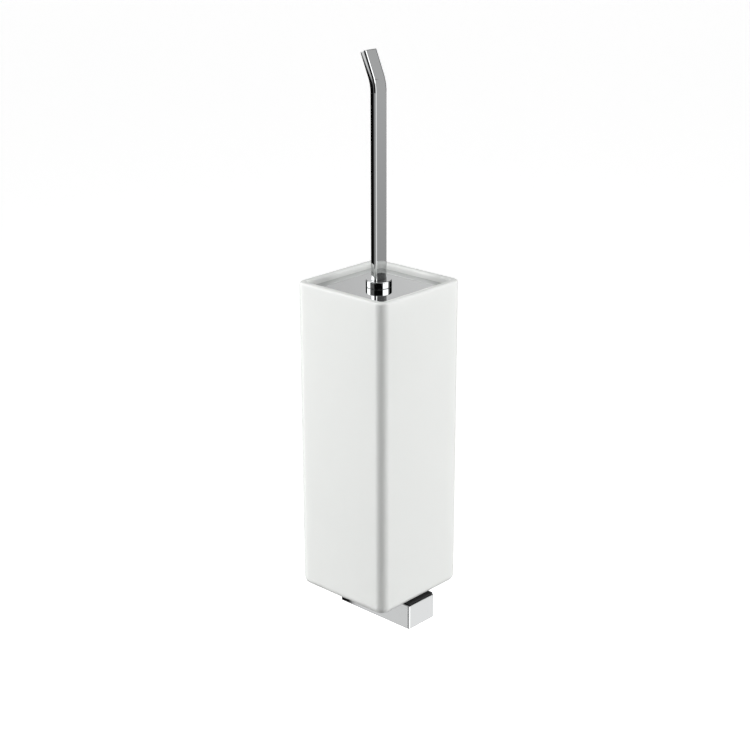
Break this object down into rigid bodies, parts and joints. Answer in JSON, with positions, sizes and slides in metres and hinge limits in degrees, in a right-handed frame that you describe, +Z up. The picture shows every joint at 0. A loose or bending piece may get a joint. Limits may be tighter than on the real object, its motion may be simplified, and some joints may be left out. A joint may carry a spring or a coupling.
{
  "type": "toilet brush holder",
  "caption": "Wall-mounted toilet brush holder: square satin-glass container on a chrome arm, with a lift-out brush that hangs from a square lid with a bent flat handle.",
  "frame": {"origin": "centre of the flat face of the wall fixing, which lies on the wall", "axes": "+Y into the wall, +Z up along the container, +X to the left of someone who faces the wall"},
  "size_m": [0.09, 0.091, 0.4503],
  "materials": {
    "chrome": "mirror polished",
    "satin_glass": "satin etched, opaque white",
    "steel": "satin",
    "rubber": "matt",
    "nylon": "matt",
    "bristle": "fibres"
  },
  "bodies": {
    "holder": {"wall_fixing": "chrome", "arm": "chrome", "arm_grub_screw": "steel", "glass_container": "satin_glass", "base_gasket": "rubber", "clamp_pad": "rubber", "clamp_plate": "steel", "glass_bush_1": "nylon", "glass_bush_2": "nylon", "clamp_screw_1": "steel", "clamp_screw_2": "steel"},
    "brush": {"handle_bar": "chrome", "handle_collar": "chrome", "lid_plate": "chrome", "lid_seal": "rubber", "lid_washer": "nylon", "lid_nut": "steel", "brush_stem": "steel", "brush_core": "nylon", "brush_bristles": "bristle", "brush_end_bristles": "bristle"}
  },
  "joints": [
    {"name": "brush_lift", "type": "slide", "parent": "holder", "child": "brush", "axis": [0, 0, 1], "range_m": [0, 0.25]}
  ]
}
